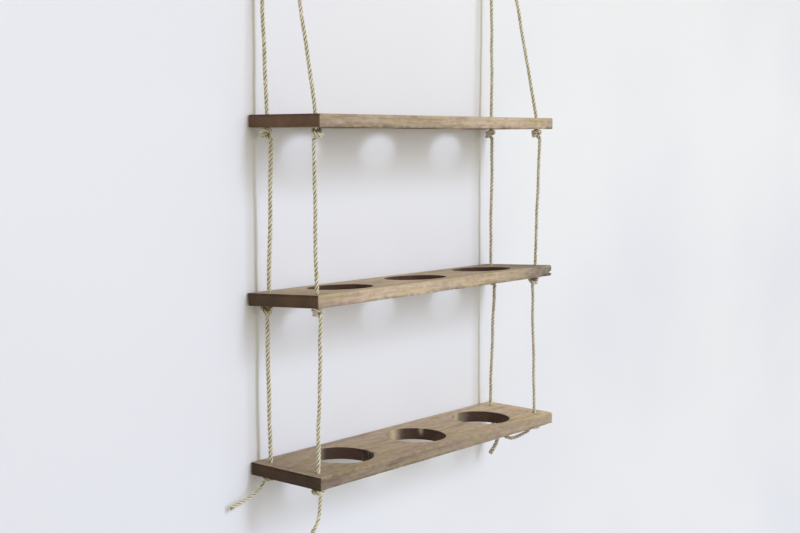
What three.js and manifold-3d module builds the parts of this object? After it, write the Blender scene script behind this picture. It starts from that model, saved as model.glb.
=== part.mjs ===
// Hanging rope shelf: three wooden boards with round cut-outs, on four rope legs that hang from two wall hooks.
// Millimetres, +X right as seen from the front, +Y to the wall, +Z up.
// The origin is on the wall, midway between the two hook arms and level with them.
import * as THREE from 'three';
import { mergeVertices } from 'three/addons/utils/BufferGeometryUtils.js';
import Module from 'manifold-3d';

const wasm = await Module();
wasm.setup();

// Boards
const boardLength = 620;
const boardDepth = 140;
const boardThickness = 19;
const boardCount = 3;
const boardSpacing = 262;
const boardCornerRadius = 2;
const chippedCornerRadius = 7;
const boardTilts = [0, -2.2, 1.7];
const wallGap = 1;

// Round cut-outs
const cutoutDiameter = 101;
const cutoutSpacing = 187;
const cutoutRowShift = 4;
const cutoutCount = 3;
const cutoutSegments = 48;

// Rope and its holes
const ropeDiameter = 6;
const ropeSides = 10;
const ropeHoleDiameter = 9.5;
const ropeHoleSegments = 16;
const holeFromEnd = 20;
const holeFromFront = 22;
const holeFromRear = 22;

// Knots, tied tight, so that their rope is drawn thinner
const knotRopeDiameter = 5.2;
const knotLooseness = 1.06;
const knotSides = 6;
const knotSteps = 44;

// Hooks and what hangs on them
const hangDrop = 540;
const hookArmDiameter = 6;
const hookSeatFromWall = 17;
const hookTipFromWall = 27;
const hookTipRise = 11;
const hookBallDiameter = 8;
const hookBendRadius = 4;
const hookSides = 16;
const plateWidth = 18;
const plateThickness = 3;
const plateAboveArm = 15;
const plateBelowArm = 30;
const plateCornerRadius = 4;
const screwUpperRise = 9;
const screwLowerDrop = 23;
const screwHeadDiameter = 7.4;
const screwShankDiameter = 3.6;
const screwHeadDepth = 1.9;
const screwSlotWidth = 1;
const screwSlotDepth = 0.8;
const screwSegments = 20;

// Rope loop over the arm, closed by a wrapped knot
const loopDrop = 38;
const wrapTurns = 1.75;
const wrapTop = 16;
const wrapGap = 1;
const loopSides = 6;
const loopSteps = 66;

// Clearances
const seatGap = 0.3;
const tiltedSeatGap = 0.5;
const pivotGap = 0.8;
const overrun = 2;

// Colours, roughness and metalness of each material
const wood = { color: 0x8f7c66, roughness: 0.85, metalness: 0 };
const rope = { color: 0xbcb496, roughness: 0.95, metalness: 0 };
const iron = { color: 0x26262a, roughness: 0.5, metalness: 0.6 };
const steel = { color: 0xb9bbbd, roughness: 0.35, metalness: 0.9 };

const boardNames = ['top', 'middle', 'bottom'];
const boardCentreY = -(wallGap + boardDepth / 2);
const holeX = boardLength / 2 - holeFromEnd;
const frontHoleY = -(wallGap + boardDepth - holeFromFront);
const rearHoleY = -(wallGap + holeFromRear);
const legs = [
  { name: 'left_front', x: -holeX, y: frontHoleY, side: 'left', front: true },
  { name: 'left_rear', x: -holeX, y: rearHoleY, side: 'left', front: false },
  { name: 'right_front', x: holeX, y: frontHoleY, side: 'right', front: true },
  { name: 'right_rear', x: holeX, y: rearHoleY, side: 'right', front: false },
];

// Overhand knot, in rope thicknesses from its middle, picked by hand: in at the top, out at the bottom.
const knotRouteShares = [
  [0, 0, 1.9], [0.3, -0.05, 1.15], [0.8, -0.2, 0.45], [1.15, -0.6, -0.25], [0.8, -1.15, -0.85],
  [0, -1.35, -1.15], [-0.8, -1, -1], [-1.15, -0.35, -0.5], [-0.85, 0.3, 0], [-0.2, 0.75, 0.4],
  [0.6, 0.95, 0.8], [1.35, 0.6, 1.15], [1.65, -0.3, 1.3], [1.25, -1.15, 1.05], [0.55, -1.35, 0.5],
  [0.1, -0.95, -0.05], [0, -0.35, -0.6],
];
const knotTopShare = 1.3;
const straightExitShares = [[0, 0, -1.3], [0, 0, -2], [0, 0, -2.6]];
const exitShiftShares = [0.6, 1, 1];
const sidewaysExitShares = [[-0.3, 0.15, -1.25], [-1.2, 0.35, -1.6]];

// How each knot is turned, in degrees, and where its rope comes out, in rope thicknesses from the hole.
const knotTurns = {
  top: { left_front: 40, left_rear: 215, right_front: 205, right_rear: 230 },
  middle: { left_front: 200, left_rear: 30, right_front: 20, right_rear: 220 },
  bottom: { left_front: 305, left_rear: 0, right_front: 0, right_rear: 170 },
};
const knotExitShares = {
  top: { left_front: [0, 0.6], left_rear: [0, -1.3], right_front: [0, -1.4], right_rear: [0, -0.3] },
  middle: { left_front: [0, -1.3], left_rear: [0, 0.8], right_front: [0, 1], right_rear: [0, -1.4] },
  bottom: { left_front: [1, 0], left_rear: [0, 0], right_front: [0, 0], right_rear: [0.1, -0.1] },
};
const sidewaysKnots = ['left_rear', 'right_front'];

// Tails below the bottom board, in rope thicknesses from the hole at the board's underside.
const tailShares = {
  left_front: [[0.9, 0, -4.8], [0.95, 0, -6], [0.6, 0, -7.6], [0, 0.05, -9.1], [-0.9, 0.2, -10.3], [-2, 0.35, -11.3]],
  left_rear: [[-3.3, 0.75, -3.8], [-6.3, 1.3, -4.75], [-9.4, 1.85, -5.8], [-12.5, 2.35, -6.85]],
  right_front: [[-2.6, 0.6, -3.45], [-4.2, 1.1, -3.65], [-6.6, 1.7, -3.9], [-9, 2.3, -3.85], [-10.8, 2.75, -3.3]],
  right_rear: [[0.6, -0.5, -4.9], [1.4, -1, -6.3], [1.4, -1.1, -7.6], [0.6, -0.85, -9.2], [-0.4, -0.6, -10.5],
    [-1.3, -0.35, -11.5]],
};

const radians = THREE.MathUtils.degToRad;
const point = (x, y, z) => new THREE.Vector3(x, y, z);

function boardTop(board) {
  return -(hangDrop + board * boardSpacing);
}

function mouthHeight(board, y) {
  return boardTop(board) + (y - boardCentreY) * Math.tan(radians(boardTilts[board]));
}

function undersideHeight(board, y) {
  return mouthHeight(board, y) - boardThickness / Math.cos(radians(boardTilts[board]));
}

function weld(geometry) {
  geometry.deleteAttribute('normal');
  geometry.deleteAttribute('uv');
  return mergeVertices(geometry, 1e-4);
}

function toManifold(geometry) {
  const welded = weld(geometry.index ? geometry.toNonIndexed() : geometry.clone());
  return new wasm.Manifold(new wasm.Mesh({
    numProp: 3,
    vertProperties: new Float32Array(welded.attributes.position.array),
    triVerts: new Uint32Array(welded.index.array),
  }));
}

function fromManifold(solid) {
  const mesh = solid.getMesh();
  const geometry = new THREE.BufferGeometry();
  geometry.setAttribute('position', new THREE.BufferAttribute(Float32Array.from(mesh.vertProperties), 3));
  geometry.setIndex(new THREE.BufferAttribute(Uint32Array.from(mesh.triVerts), 1));
  return geometry;
}

function piece(name, geometry, finish) {
  const welded = weld(geometry);
  welded.computeVertexNormals();
  const mesh = new THREE.Mesh(welded, new THREE.MeshStandardMaterial(finish));
  mesh.name = name;
  return mesh;
}

function circle(diameter, sides) {
  const corners = [];
  for (let i = 0; i < sides; i += 1) {
    const angle = (i * 2 * Math.PI) / sides;
    corners.push(new THREE.Vector2(Math.cos(angle) * diameter / 2, Math.sin(angle) * diameter / 2));
  }
  return new THREE.Shape(corners);
}

function tube(curve, diameter, sides, steps) {
  return new THREE.ExtrudeGeometry(circle(diameter, sides), { extrudePath: curve, steps, bevelEnabled: false });
}

function curveThrough(points) {
  return new THREE.CatmullRomCurve3(points);
}

// Least gap of a tube to itself, on closely spaced points, leaving out what lies within two diameters along it.
function leastGap(curve, diameter) {
  const length = curve.getLength();
  const count = Math.ceil(length / (diameter / 8));
  const places = curve.getSpacedPoints(count);
  const skip = Math.ceil((2 * diameter * count) / length);
  let least = Infinity;
  for (let i = 0; i <= count; i += 1) {
    for (let j = i + skip; j <= count; j += 1) {
      least = Math.min(least, places[i].distanceTo(places[j]));
    }
  }
  return least - diameter;
}

function roundHole(x, y, diameter, segments) {
  const hole = new THREE.Path();
  const corners = circle(diameter, segments).getPoints();
  hole.setFromPoints(corners.map((corner) => new THREE.Vector2(corner.x + x, corner.y + y)));
  return hole;
}

function boardOutline() {
  const right = boardLength / 2;
  const rear = boardDepth / 2;
  const small = boardCornerRadius;
  const chip = chippedCornerRadius;
  const outline = new THREE.Shape();
  outline.moveTo(-right + small, -rear);
  outline.lineTo(right - chip, -rear);
  outline.quadraticCurveTo(right - chip / 4, -rear + chip / 4, right, -rear + chip);
  outline.lineTo(right, rear - small);
  outline.quadraticCurveTo(right, rear, right - small, rear);
  outline.lineTo(-right + small, rear);
  outline.quadraticCurveTo(-right, rear, -right, rear - small);
  outline.lineTo(-right, -rear + small);
  outline.quadraticCurveTo(-right, -rear, -right + small, -rear);
  return outline;
}

function makeBoard(board) {
  const outline = boardOutline();
  for (let i = 0; i < cutoutCount; i += 1) {
    const x = cutoutRowShift + (i - (cutoutCount - 1) / 2) * cutoutSpacing;
    outline.holes.push(roundHole(x, 0, cutoutDiameter, cutoutSegments));
  }
  for (const leg of legs) {
    outline.holes.push(roundHole(leg.x, leg.y - boardCentreY, ropeHoleDiameter, ropeHoleSegments));
  }
  const geometry = new THREE.ExtrudeGeometry(outline, { depth: boardThickness, bevelEnabled: false, curveSegments: 4 });
  geometry.translate(0, 0, -boardThickness);
  geometry.rotateX(radians(boardTilts[board]));
  geometry.translate(0, boardCentreY, boardTop(board));
  return piece(`${boardNames[board]}_board`, geometry, wood);
}

// Where a leg's knot under a board has its middle, and where its rope comes out.
function knotCentre(board, leg) {
  const unit = knotRopeDiameter * knotLooseness;
  const drop = knotTopShare * unit + knotRopeDiameter / 2 + tiltedSeatGap;
  return point(leg.x, leg.y, undersideHeight(board, leg.y) - drop);
}

function knotPoints(board, leg) {
  const unit = knotRopeDiameter * knotLooseness;
  const centre = knotCentre(board, leg);
  const turn = radians(knotTurns[boardNames[board]][leg.name]);
  const [shiftX, shiftY] = knotExitShares[boardNames[board]][leg.name];
  const sideways = boardNames[board] === 'bottom' && sidewaysKnots.includes(leg.name);
  const exitShares = sideways ? sidewaysExitShares : straightExitShares;
  const turned = ([x, y, z], shift) => point(
    centre.x + unit * (x * Math.cos(turn) - y * Math.sin(turn) + shift * shiftX),
    centre.y + unit * (x * Math.sin(turn) + y * Math.cos(turn) + shift * shiftY),
    centre.z + unit * z,
  );
  const neckTop = point(leg.x, leg.y, mouthHeight(board, leg.y) - pivotGap / 2);
  const inside = knotRouteShares.map((share) => turned(share, 0));
  const exit = exitShares.map((share, i) => turned(share, exitShiftShares[i]));
  return [neckTop, ...inside, ...exit];
}

function knotExit(board, leg) {
  return knotPoints(board, leg).at(-1);
}

function makeKnot(board, leg) {
  const name = `${leg.name}_${boardNames[board]}_knot`;
  const curve = curveThrough(knotPoints(board, leg));
  console.log(name, 'least gap to itself', leastGap(curve, knotRopeDiameter).toFixed(2), 'mm');
  return piece(name, tube(curve, knotRopeDiameter, knotSides, knotSteps), rope);
}

// Where a leg's rope leaves the loop: the front rope at the loop's front, the rear rope behind it.
function loopExit(leg) {
  const half = (ropeDiameter + wrapGap) / 2;
  return point(leg.x, -hookSeatFromWall + (leg.front ? -half : half), -loopDrop);
}

function straightRope(name, start, end) {
  const lead = ropeDiameter / 2;
  const curve = curveThrough([
    start,
    point(start.x, start.y, start.z - lead),
    point(end.x, end.y, end.z + lead),
    end,
  ]);
  const steps = Math.max(3, Math.round((start.z - end.z) / (ropeDiameter * 14)));
  return piece(name, tube(curve, ropeDiameter, ropeSides, steps), rope);
}

function makeUpperRope(leg) {
  const start = loopExit(leg);
  start.z -= pivotGap;
  const end = point(leg.x, leg.y, mouthHeight(0, leg.y) + pivotGap / 2);
  return straightRope(`${leg.name}_upper_rope`, start, end);
}

function makeLowerRope(board, leg, name) {
  const start = knotExit(board - 1, leg);
  start.z -= pivotGap;
  const end = point(leg.x, leg.y, mouthHeight(board, leg.y) + pivotGap / 2);
  return straightRope(name, start, end);
}

function makeTail(leg) {
  const board = boardCount - 1;
  const start = knotExit(board, leg);
  const points = knotPoints(board, leg);
  const heading = start.clone().sub(points.at(-2)).normalize();
  start.addScaledVector(heading, seatGap);
  const lead = start.clone().addScaledVector(heading, ropeDiameter / 2);
  const base = point(leg.x, leg.y, undersideHeight(board, leg.y));
  const rest = tailShares[leg.name].map(([x, y, z]) => point(x, y, z).multiplyScalar(ropeDiameter).add(base));
  const curve = curveThrough([start, lead, ...rest]);
  const steps = Math.round(curve.getLength() / (ropeDiameter * 2));
  return piece(`${leg.name}_tail`, tube(curve, ropeDiameter, ropeSides, steps), rope);
}

// One rope doubled over the arm: up from the front leg, over, down, round the front leg, and out as the rear leg.
function makeLoop(side, x) {
  const reach = hookArmDiameter / 2 + seatGap + ropeDiameter / 2;
  const half = (ropeDiameter + wrapGap) / 2;
  const wrapRadius = ropeDiameter + wrapGap;
  const seatY = -hookSeatFromWall;
  const coreY = seatY - half;
  const wrapPitch = ropeDiameter + wrapGap;
  const points = [
    point(x, coreY, -loopDrop),
    point(x, coreY, -loopDrop + ropeDiameter),
    point(x, coreY, -(loopDrop + wrapTop) / 2),
    point(x - reach / 8, coreY, -wrapTop),
    point(x - reach * 0.75, seatY - half / 3, -reach),
  ];
  for (let i = 0; i <= 4; i += 1) {
    const angle = Math.PI - (i * Math.PI) / 4;
    points.push(point(x + reach * Math.cos(angle), seatY, reach * Math.sin(angle)));
  }
  points.push(point(x + reach * 1.05, seatY, -reach * 1.2));
  const perTurn = 8;
  const count = wrapTurns * perTurn;
  for (let i = 0; i <= count; i += 1) {
    const angle = -(i * 2 * Math.PI) / perTurn;
    const z = -wrapTop - (wrapPitch * i) / perTurn;
    points.push(point(x + wrapRadius * Math.cos(angle), coreY + wrapRadius * Math.sin(angle), z));
  }
  const rearY = coreY + wrapRadius;
  points.push(point(x, rearY, -loopDrop + ropeDiameter));
  points.push(point(x, rearY, -loopDrop));
  const curve = curveThrough(points);
  const name = `${side}_rope_loop`;
  console.log(name, 'least gap to itself', leastGap(curve, ropeDiameter).toFixed(2), 'mm');
  return piece(name, tube(curve, ropeDiameter, loopSides, loopSteps), rope);
}

function plateSolid(x) {
  const half = plateWidth / 2;
  const r = plateCornerRadius;
  const low = -plateBelowArm;
  const high = plateAboveArm;
  const outline = new THREE.Shape();
  outline.moveTo(-half + r, low);
  outline.lineTo(half - r, low);
  outline.absarc(half - r, low + r, r, -Math.PI / 2, 0, false);
  outline.lineTo(half, high - r);
  outline.absarc(half - r, high - r, r, 0, Math.PI / 2, false);
  outline.lineTo(-half + r, high);
  outline.absarc(-half + r, high - r, r, Math.PI / 2, Math.PI, false);
  outline.lineTo(-half, low + r);
  outline.absarc(-half + r, low + r, r, Math.PI, Math.PI * 1.5, false);
  const geometry = new THREE.ExtrudeGeometry(outline, { depth: plateThickness, bevelEnabled: false, curveSegments: 3 });
  geometry.rotateX(Math.PI / 2);
  geometry.translate(x, 0, 0);
  return toManifold(geometry);
}

function armSolid(x) {
  const bend = hookBendRadius;
  const curve = curveThrough([
    point(x, -plateThickness / 2, 0),
    point(x, -hookTipFromWall / 2, 0),
    point(x, -hookTipFromWall + bend, 0),
    point(x, -hookTipFromWall + bend / 4, bend / 4),
    point(x, -hookTipFromWall, bend),
    point(x, -hookTipFromWall, hookTipRise),
  ]);
  const rod = toManifold(tube(curve, hookArmDiameter, hookSides, 18));
  const ball = new THREE.SphereGeometry(hookBallDiameter / 2, hookSides, hookSides / 2);
  ball.translate(x, -hookTipFromWall, hookTipRise);
  return rod.add(toManifold(ball));
}

// Profile of a countersunk screw or of its hole, turned about Y, with its face at the plate's front.
function screwProfile(clearance, front, back) {
  const head = screwHeadDiameter / 2 + clearance;
  const shank = screwShankDiameter / 2 + clearance;
  const neck = -plateThickness + screwHeadDepth;
  const corners = [new THREE.Vector2(0, front), new THREE.Vector2(head, front)];
  if (front < -plateThickness) corners.push(new THREE.Vector2(head, -plateThickness));
  corners.push(new THREE.Vector2(shank, neck), new THREE.Vector2(shank, back), new THREE.Vector2(0, back));
  return corners;
}

function screwSolid(x, z, clearance, front, back) {
  const geometry = new THREE.LatheGeometry(screwProfile(clearance, front, back), screwSegments);
  geometry.translate(x, 0, z);
  return toManifold(geometry);
}

function makeHook(side, x) {
  let solid = plateSolid(x).add(armSolid(x));
  for (const z of [screwUpperRise, -screwLowerDrop]) {
    solid = solid.subtract(screwSolid(x, z, seatGap, -plateThickness - overrun, overrun));
  }
  return piece(`${side}_hook`, fromManifold(solid), iron);
}

function makeScrew(side, x, z, place) {
  const slot = new THREE.BoxGeometry(screwSlotWidth, screwSlotDepth * 2, screwHeadDiameter * 1.5);
  slot.translate(x, -plateThickness, z);
  const solid = screwSolid(x, z, 0, -plateThickness, -seatGap).subtract(toManifold(slot));
  return piece(`${side}_hook_screw_${place}`, fromManifold(solid), steel);
}

const part = new THREE.Group();
part.name = 'hanging_rope_shelf';
for (let board = 0; board < boardCount; board += 1) part.add(makeBoard(board));
for (const [side, x] of [['left', -holeX], ['right', holeX]]) {
  part.add(makeHook(side, x));
  part.add(makeScrew(side, x, screwUpperRise, 'upper'));
  part.add(makeScrew(side, x, -screwLowerDrop, 'lower'));
  part.add(makeLoop(side, x));
}
for (const leg of legs) {
  part.add(makeUpperRope(leg));
  part.add(makeLowerRope(1, leg, `${leg.name}_middle_rope`));
  part.add(makeLowerRope(2, leg, `${leg.name}_lower_rope`));
  for (let board = 0; board < boardCount; board += 1) part.add(makeKnot(board, leg));
  part.add(makeTail(leg));
}

export default part;
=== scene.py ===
import random
from math import atan2, copysign, cos, degrees, exp, hypot, pi, radians, sin, tan, tau

import bmesh
import bpy
from bpy.props import (
    FloatProperty,
    FloatVectorProperty,
    IntProperty,
    PointerProperty,
)
from mathutils import Matrix, Vector, noise
from mathutils.geometry import delaunay_2d_cdt


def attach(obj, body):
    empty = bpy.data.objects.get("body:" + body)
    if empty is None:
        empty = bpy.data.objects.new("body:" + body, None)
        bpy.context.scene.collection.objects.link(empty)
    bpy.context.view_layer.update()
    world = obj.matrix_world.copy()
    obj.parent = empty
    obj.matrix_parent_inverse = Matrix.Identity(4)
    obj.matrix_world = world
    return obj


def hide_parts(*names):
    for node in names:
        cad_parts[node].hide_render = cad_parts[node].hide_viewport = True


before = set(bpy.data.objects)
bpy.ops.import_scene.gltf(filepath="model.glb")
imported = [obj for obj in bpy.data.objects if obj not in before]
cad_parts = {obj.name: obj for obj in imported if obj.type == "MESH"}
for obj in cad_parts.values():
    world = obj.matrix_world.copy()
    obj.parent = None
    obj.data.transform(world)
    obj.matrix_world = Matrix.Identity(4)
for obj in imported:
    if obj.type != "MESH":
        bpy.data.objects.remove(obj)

bl_info = {
    "name": "Hanging rope shelf",
    "version": (1, 0, 0),
    "blender": (4, 5, 0),
    "location": "View3D > Sidebar > Rope Shelf",
    "description": "Rough boards with round cut-outs, hung on knotted natural rope",
    "category": "Add Mesh",
}

# Places of the solids, in metres, as in the part's source.
BOARD_NAMES = ("top", "middle", "bottom")
BOARD_LENGTH = 0.620
BOARD_DEPTH = 0.140
BOARD_THICKNESS = 0.019
BOARD_SPACING = 0.262
BOARD_TILTS = (0.0, -2.2, 1.7)
WALL_GAP = 0.001
HANG_DROP = 0.540
BOARD_MIDDLE_Y = -(WALL_GAP + BOARD_DEPTH / 2)
HOLE_X = BOARD_LENGTH / 2 - 0.020
HOLE_Y = {"front": -(WALL_GAP + BOARD_DEPTH - 0.022), "rear": -(WALL_GAP + 0.022)}
CUTOUT_RADIUS = 0.101 / 2
CUTOUT_SPACING = 0.187
CUTOUT_SHIFT = 0.004
PIVOT_GAP = 0.0008
SEAT_GAP = 0.0003
LEGS = ("left_front", "left_rear", "right_front", "right_rear")

# The overhand knot and where its rope leaves it, in knot units from its middle.
KNOT_ROPE = 0.0052
KNOT_UNIT = KNOT_ROPE * 1.06
KNOT_TOP = 1.3
KNOT_SEAT = 0.0005
KNOT_ROUTE = (
    (0, 0, 1.9), (0.3, -0.05, 1.15), (0.8, -0.2, 0.55), (1.1, -0.6, -0.05), (0.75, -1.05, -0.5),
    (0, -1.2, -0.75), (-0.75, -0.9, -0.65), (-1.1, -0.3, -0.3), (-0.85, 0.35, 0.1), (-0.2, 0.75, 0.45),
    (0.6, 0.95, 0.8), (1.35, 0.6, 1.1), (1.6, -0.3, 1.2), (1.25, -1.1, 1), (0.55, -1.3, 0.6),
    (0.1, -0.9, 0.1), (0, -0.35, -0.5),
)
STRAIGHT_EXIT = ((0, 0, -1.2), (0, 0, -1.7), (0, 0, -2.2))
SIDEWAYS_EXIT = ((-0.3, 0.15, -1.25), (-1.2, 0.35, -1.6))
# How far each point of an exit is out to the side, and the bottom knots that their ropes leave sideways.
EXIT_SHIFTS = (0.6, 1, 1)
SIDEWAYS_KNOTS = ("left_rear", "right_front")
# The knots of each board, in the order of the legs: the turn in degrees, how far the rope comes out to the
# side in knot units, how far the knot hangs down against a loosely tied one, and its lean in metres.
KNOTS = (
    ((40, (0, 0.6), 0.85, (0.0010, -0.0012)), (215, (0, -1.3), 0.88, (0, 0)),
     (205, (0, -1.4), 0.78, (0.0012, -0.0016)), (230, (0, -0.3), 0.84, (-0.0008, 0.0010))),
    ((200, (0, -1.3), 0.8, (0.0019, -0.0023)), (30, (0, 0.8), 0.88, (-0.0034, 0.0043)),
     (20, (0, 1), 0.78, (-0.0030, 0.0037)), (220, (0, -1.4), 1.1, (0.0046, -0.0058))),
    ((305, (1, 0), 0.55, (0, 0)), (0, (0, 0), 0.22, (-0.0025, 0.0032)),
     (0, (0, 0), 0.26, (-0.0012, 0.0015)), (170, (0.6, -0.6), 0.3, (0.0025, -0.0031))),
)
# How far the knots spread sideways, board by board.
KNOT_SPREADS = (1.0, 1.0, 1.18)
# Distance between the rings of a strand in a knot and in a loop, against that in the straight ropes.
KNOT_STEP = 0.75
LOOP_STEP = 0.8
# Number of the first piece of each kind, which starts its random draws.
FIRST_ROPE, FIRST_TAIL, FIRST_KNOT, FIRST_LOOP = 40, 90, 120, 160
# Thickness of the ropes of each leg from the top down, against the nominal one.
ROPE_WIDTHS = {
    "left_front": (1.04, 1.08, 1.07), "left_rear": (1.1, 1.2, 1.2),
    "right_front": (1.0, 0.96, 0.93), "right_rear": (1.0, 1.0, 1.02)}
# How far the upper rope of each leg bows sideways and towards the wall, and at which share of its length.
UPPER_BOWS = {
    "left_front": (0, -0.0031), "left_rear": (0, 0.0038),
    "right_front": (-0.001, 0.001), "right_rear": (0.004, -0.001)}
BOW_PLACE = 0.66
# How far rope pieces run into each other at their joints.
JOINT_LAP = 0.0016
# The tails, in rope thicknesses from the hole at the bottom board's underside.
TAILS = {
    "left_front": ((0.75, 0, -3.6), (0.5, 0, -5.4), (0.2, 0, -7.4), (-0.3, 0.05, -9), (-1.05, 0.2, -10.3),
                   (-2, 0.35, -11.4)),
    "left_rear": ((-3.3, 0.75, -3.0), (-6.3, 1.3, -4.75), (-9.4, 1.85, -5.75), (-12.0, 2.25, -6.6)),
    "right_front": ((-2.7, 0.6, -2.0), (-4.3, 1.1, -2.55), (-6.6, 1.7, -3.15), (-9, 2.3, -3.3),
                    (-11.5, 2.9, -2.35)),
    "right_rear": ((0.7, -0.65, -4.9), (1.65, -1.3, -6.3), (1.7, -1.45, -7.6), (0.9, -1.2, -9.2),
                   (-0.1, -0.95, -10.5), (-1.0, -0.7, -11.5)),
}
# Thickness of each tail near its knot and at its frayed end, against the rope's.
TAIL_WIDTHS = {
    "left_front": (0.94, 1.06), "left_rear": (0.78, 1.1),
    "right_front": (0.94, 1.08), "right_rear": (0.95, 1.3)}
# Painted shade on each tail, for those that hang in the bottom board's shadow: 0 is none, and from 0.4 on it
# is as dark as the grooves' painted shade.
TAIL_SHADES = {"left_front": 0.0, "left_rear": 0.0, "right_front": 0.26, "right_rear": 0.22}

# The loop over a hook arm.
HOOK_ARM = 0.006
SEAT_FROM_WALL = 0.017
LOOP_DROP = 0.038
WRAP_TURNS = 1.75
WRAP_TOP = 0.016
WRAP_GAP = 0.001

# What the colours of the panel have in common.
COLOUR = {"subtype": "COLOR", "size": 3, "min": 0.0, "max": 1.0}


class ShelfRopeSettings(bpy.types.PropertyGroup):
    diameter: FloatProperty(
        name="Rope thickness", description="Outside thickness of the twisted rope",
        default=0.006, min=0.003, max=0.02, unit="LENGTH")
    lay: FloatProperty(
        name="Lay", description="Length in which a strand goes once round the rope",
        default=0.021, min=0.01, max=0.08, unit="LENGTH")
    strands: IntProperty(name="Strands", description="Strands twisted into the rope", default=3, min=2, max=4)
    step: FloatProperty(
        name="Ring step", description="Distance between the rings of a strand",
        default=0.0016, min=0.0005, max=0.01, unit="LENGTH")
    fuzz: FloatProperty(
        name="Stray fibres", description="Loose fibres on each metre of rope",
        default=160.0, min=0.0, max=1000.0)
    straw: FloatVectorProperty(
        name="Straw", description="Colour of the fibres in the light",
        default=(0.84, 0.79, 0.65), **COLOUR)
    # Painted shade: the groove colour darkens the rope where its strands sink towards the middle.
    groove_shade: FloatVectorProperty(
        name="Groove", description="Colour deep between the strands",
        default=(0.18, 0.14, 0.08), **COLOUR)


class ShelfBoardSettings(bpy.types.PropertyGroup):
    arris: FloatProperty(
        name="Worn edge", description="How far the worn edges are rounded over",
        default=0.0011, min=0.0003, max=0.004, unit="LENGTH")
    wander: FloatProperty(
        name="Saw wander", description="How far the sawn sides stray from straight",
        default=0.0004, min=0.0, max=0.003, unit="LENGTH")
    face: FloatVectorProperty(
        name="Wood", description="Stained wood on the faces", default=(0.42, 0.335, 0.245), **COLOUR)
    dark_grain: FloatVectorProperty(
        name="Dark grain", description="Late wood and dirt in the grain",
        default=(0.2, 0.14, 0.09), **COLOUR)
    end_grain: FloatVectorProperty(
        name="End grain", description="Sawn ends, where the stain sinks in",
        default=(0.145, 0.088, 0.053), **COLOUR)
    cut_wall: FloatVectorProperty(
        name="Cut-out wall", description="End grain inside the round cut-outs",
        default=(0.065, 0.038, 0.026), **COLOUR)
    worn: FloatVectorProperty(
        name="Worn wood", description="Pale wood where the edges are rubbed",
        default=(0.55, 0.44, 0.28), **COLOUR)


class ShelfMetalSettings(bpy.types.PropertyGroup):
    bevel: FloatProperty(
        name="Metal edge", description="Rounding on the edges of hooks and screws",
        default=0.0004, min=0.0001, max=0.002, unit="LENGTH")
    iron: FloatVectorProperty(
        name="Hook iron", description="Satin black of the hooks",
        default=(0.02, 0.02, 0.022), **COLOUR)
    steel: FloatVectorProperty(
        name="Screw steel", description="Bare steel of the screws", default=(0.5, 0.5, 0.51), **COLOUR)


class ShelfStageSettings(bpy.types.PropertyGroup):
    wall: FloatVectorProperty(
        name="Wall", description="Colour of the wall", default=(0.785, 0.8, 0.84), **COLOUR)
    # Painted light: the wall is painted lighter towards the right, where more of the window's light falls.
    wall_window_lit: FloatVectorProperty(
        name="Wall, right", description="Colour of the wall towards the right, nearer the window",
        default=(0.825, 0.84, 0.85), **COLOUR)
    sun: FloatProperty(
        name="Window light", description="Strength of the tall window's light from the front",
        default=1.84, min=0.0, max=10.0)
    sky: FloatProperty(
        name="Room light", description="Strength of the light from all round",
        default=0.41, min=0.0, max=3.0)


def settings():
    """Settings of the rope, the boards, the metal and the stage."""
    scene = bpy.context.scene
    return scene.shelf_rope, scene.shelf_board, scene.shelf_metal, scene.shelf_stage


# Shader maths


class Sock:
    """A node's output that takes part in Python arithmetic."""

    def __init__(self, shader, socket):
        self.shader = shader
        self.socket = socket

    def is_vector(self):
        return self.socket.type in {"VECTOR", "RGBA"}

    def maths(self, operation, first, second):
        vectors = any(isinstance(v, Sock) and v.is_vector() for v in (first, second))
        if vectors:
            first, second = ((v, v, v) if isinstance(v, (int, float)) else v for v in (first, second))
        kind = "ShaderNodeVectorMath" if vectors else "ShaderNodeMath"
        return self.shader.node(kind, {"operation": operation}, 0, {0: first, 1: second})

    def __add__(self, other):
        return self.maths("ADD", self, other)

    __radd__ = __add__

    def __sub__(self, other):
        return self.maths("SUBTRACT", self, other)

    def __rsub__(self, other):
        return self.maths("SUBTRACT", other, self)

    def __mul__(self, other):
        return self.maths("MULTIPLY", self, other)

    __rmul__ = __mul__

    def __pow__(self, other):
        return self.maths("POWER", self, other)

    def __rpow__(self, other):
        return self.maths("POWER", other, self)

    def smooth(self, low, high):
        """0 below low and 1 above high, smooth between; low may be the larger one."""
        return self.shader.node(
            "ShaderNodeMapRange", {"interpolation_type": "SMOOTHSTEP"}, 0,
            {"Value": self, "From Min": low, "From Max": high})


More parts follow.
